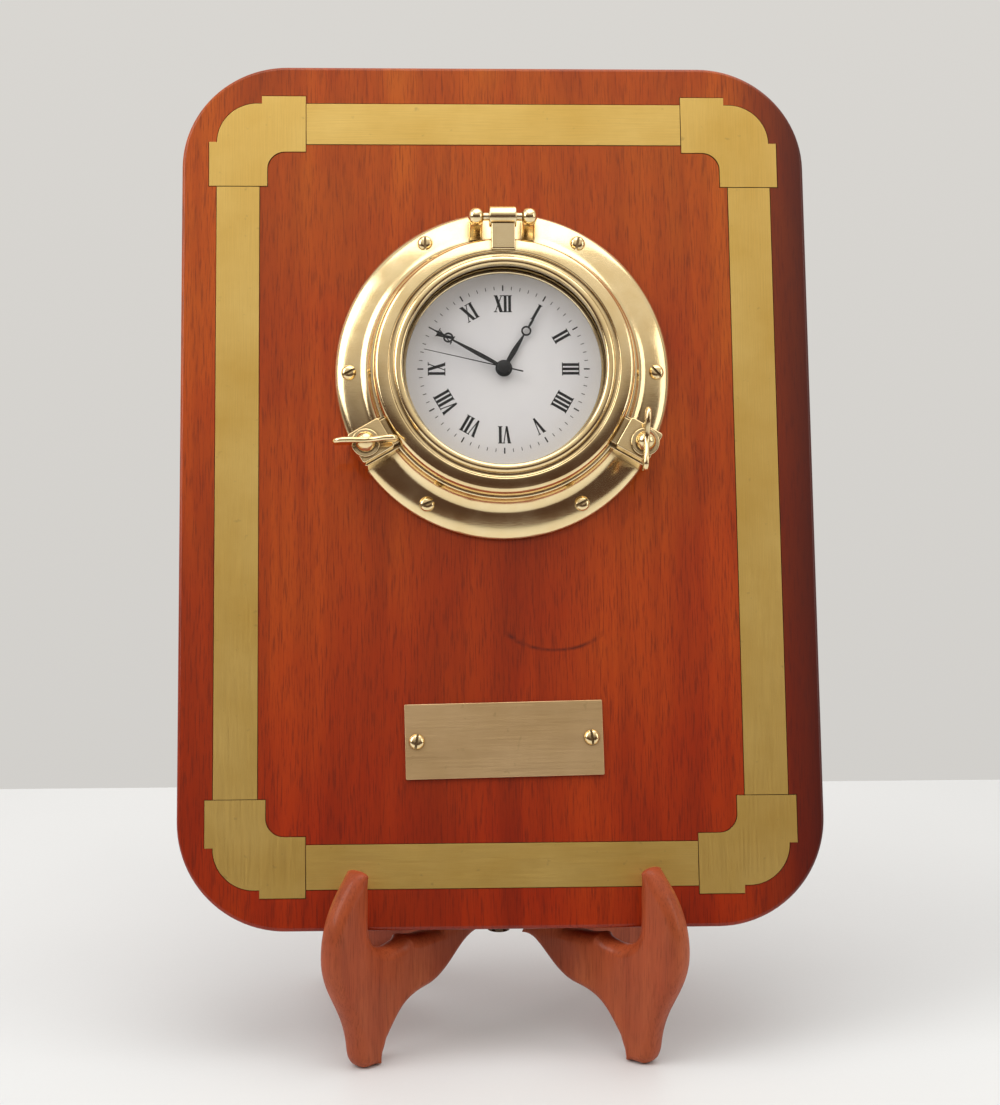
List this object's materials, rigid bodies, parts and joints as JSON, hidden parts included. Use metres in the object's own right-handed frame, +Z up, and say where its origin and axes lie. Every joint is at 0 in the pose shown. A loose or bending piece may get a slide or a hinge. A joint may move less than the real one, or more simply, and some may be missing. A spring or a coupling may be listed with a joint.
{
  "type": "ship's deck clock",
  "caption": "Quartz clock in a hinged brass porthole on an inlaid mahogany plaque that leans on a folding crossed-leaf stand.",
  "frame": {"origin": "middle of the bounding box's bottom face, on the surface that the stand's feet stand on", "axes": "+Z up; the clock faces -Y and the plaque's top leans back towards +Y; +X is to the viewer's right"},
  "size_m": [0.28, 0.1642, 0.4243],
  "materials": {
    "plaque_wood": "glossy lacquered mahogany",
    "stand_wood": "satin lacquered reddish hardwood",
    "polished_brass": "polished and lacquered",
    "satin_brass": "satin, lightly brushed",
    "glass": "clear",
    "dial_paint": "matt off-white print",
    "hand_paint": "satin black",
    "movement_plastic": "moulded, matt",
    "gear_plastic": "moulded, natural",
    "steel": "plated",
    "coil_copper": "lacquered copper wire",
    "circuit_board": "green solder mask"
  },
  "bodies": {
    "stand_pivot": {"stand_pivot_pin": "polished_brass"},
    "stand_left": {"stand_leaf_left": "stand_wood"},
    "stand_right": {"stand_leaf_right": "stand_wood"},
    "plaque": {"board": "plaque_wood", "inlay_strip_top": "satin_brass", "inlay_strip_bottom": "satin_brass", "inlay_strip_left": "satin_brass", "inlay_strip_right": "satin_brass", "inlay_corner_top_right": "satin_brass", "inlay_corner_top_left": "satin_brass", "inlay_corner_bottom_right": "satin_brass", "inlay_corner_bottom_left": "satin_brass", "name_plate": "satin_brass", "name_plate_screw_left": "polished_brass", "name_plate_screw_right": "polished_brass", "porthole_base": "polished_brass", "flange_screw_1": "polished_brass", "flange_screw_2": "polished_brass", "flange_screw_3": "polished_brass", "flange_screw_4": "polished_brass", "flange_screw_5": "polished_brass", "flange_screw_6": "polished_brass", "hinge_pin": "polished_brass", "insert_case": "satin_brass", "insert_bezel": "polished_brass", "dial": "dial_paint", "movement_case": "movement_plastic", "movement_back_cover": "movement_plastic", "battery": "steel", "contact_positive": "steel", "contact_negative": "steel", "circuit_board": "circuit_board", "coil": "coil_copper", "stator": "steel"},
    "door": {"porthole_door": "polished_brass", "door_glass": "glass", "glass_retaining_ring": "satin_brass"},
    "washer_left": {"thumb_screw_washer_left": "polished_brass"},
    "washer_right": {"thumb_screw_washer_right": "polished_brass"},
    "clamp_left": {"thumb_screw_left": "polished_brass"},
    "clamp_right": {"thumb_screw_right": "polished_brass"},
    "seconds": {"second_hand": "hand_paint", "seconds_wheel": "gear_plastic"},
    "third": {"third_wheel": "gear_plastic"},
    "centre": {"minute_hand": "hand_paint", "centre_wheel": "gear_plastic"},
    "minute_work": {"minute_wheel": "gear_plastic"},
    "hour": {"hour_hand": "hand_paint", "hour_wheel": "gear_plastic"},
    "intermediate": {"intermediate_wheel": "gear_plastic"},
    "motor_rotor": {"rotor": "steel"},
    "hand_setter": {"setting_knob": "gear_plastic"}
  },
  "joints": [
    {"name": "plaque_lift", "type": "slide", "parent": "stand_pivot", "child": "plaque", "axis": [0, 0, 1], "range_m": [0, 0.2]},
    {"name": "stand_fold_left", "type": "hinge", "parent": "stand_pivot", "child": "stand_left", "pos_m": [0, -0.01076, 0.045], "axis": [0, 0, 1], "range_deg": [0, 45]},
    {"name": "stand_fold_right", "type": "hinge", "parent": "stand_pivot", "child": "stand_right", "pos_m": [0, -0.01076, 0.045], "axis": [0, 0, -1], "range_deg": [0, 45]},
    {"name": "door_hinge", "type": "hinge", "parent": "plaque", "child": "door", "pos_m": [0.0024, 0.02139, 0.35858], "axis": [-1, 0, 0], "range_deg": [0, 105]},
    {"name": "clamp_turn_left", "type": "hinge", "parent": "door", "child": "washer_left", "pos_m": [-0.05822, -0.00861, 0.26108], "axis": [0, -0.9511, 0.309], "range_deg": [0, 2160]},
    {"name": "clamp_turn_right", "type": "hinge", "parent": "door", "child": "washer_right", "pos_m": [0.06302, -0.00861, 0.26108], "axis": [0, -0.9511, 0.309], "range_deg": [0, 2160]},
    {"name": "clamp_travel_left", "type": "slide", "parent": "washer_left", "child": "clamp_left", "axis": [0, -0.9511, 0.309], "range_m": [0, 0.0048]},
    {"name": "clamp_travel_right", "type": "slide", "parent": "washer_right", "child": "clamp_right", "axis": [0, -0.9511, 0.309], "range_m": [0, 0.0048]},
    {"name": "seconds_turn", "type": "hinge", "parent": "plaque", "child": "seconds", "pos_m": [0.0024, 0.01933, 0.28881], "axis": [0, 0.9511, -0.309], "continuous": true},
    {"name": "third_turn", "type": "hinge", "parent": "plaque", "child": "third", "pos_m": [-0.00587, 0.02147, 0.29541], "axis": [0, 0.9511, -0.309], "continuous": true},
    {"name": "centre_turn", "type": "hinge", "parent": "plaque", "child": "centre", "pos_m": [0.0024, 0.01933, 0.28881], "axis": [0, 0.9511, -0.309], "continuous": true},
    {"name": "minute_work_turn", "type": "hinge", "parent": "plaque", "child": "minute_work", "pos_m": [0.0066, 0.02158, 0.29573], "axis": [0, 0.9511, -0.309], "continuous": true},
    {"name": "hour_turn", "type": "hinge", "parent": "plaque", "child": "hour", "pos_m": [0.0024, 0.01933, 0.28881], "axis": [0, 0.9511, -0.309], "continuous": true},
    {"name": "intermediate_turn", "type": "hinge", "parent": "plaque", "child": "intermediate", "pos_m": [0.01107, 0.0197, 0.28996], "axis": [0, 0.9511, -0.309], "continuous": true},
    {"name": "rotor_turn", "type": "hinge", "parent": "plaque", "child": "motor_rotor", "pos_m": [0.0167, 0.02034, 0.29192], "axis": [0, 0.9511, -0.309], "continuous": true},
    {"name": "setting_turn", "type": "hinge", "parent": "plaque", "child": "hand_setter", "pos_m": [0.00514, 0.02413, 0.30359], "axis": [0, 0.9511, -0.309], "continuous": true}
  ],
  "couplings": [
    {"joint": "stand_fold_left", "follows": "plaque_lift", "rad_per_m": 3.9269},
    {"joint": "stand_fold_right", "follows": "plaque_lift", "rad_per_m": 3.9269},
    {"joint": "clamp_travel_left", "follows": "clamp_turn_left", "m_per_rad": 0.00012732},
    {"joint": "clamp_travel_right", "follows": "clamp_turn_right", "m_per_rad": 0.00012732},
    {"joint": "third_turn", "follows": "seconds_turn", "ratio": -0.13333},
    {"joint": "centre_turn", "follows": "seconds_turn", "ratio": 0.016667},
    {"joint": "minute_work_turn", "follows": "seconds_turn", "ratio": -0.0055556},
    {"joint": "hour_turn", "follows": "seconds_turn", "ratio": 0.0013889},
    {"joint": "intermediate_turn", "follows": "seconds_turn", "ratio": -6},
    {"joint": "rotor_turn", "follows": "seconds_turn", "ratio": 30},
    {"joint": "setting_turn", "follows": "seconds_turn", "ratio": 0.016667}
  ]
}
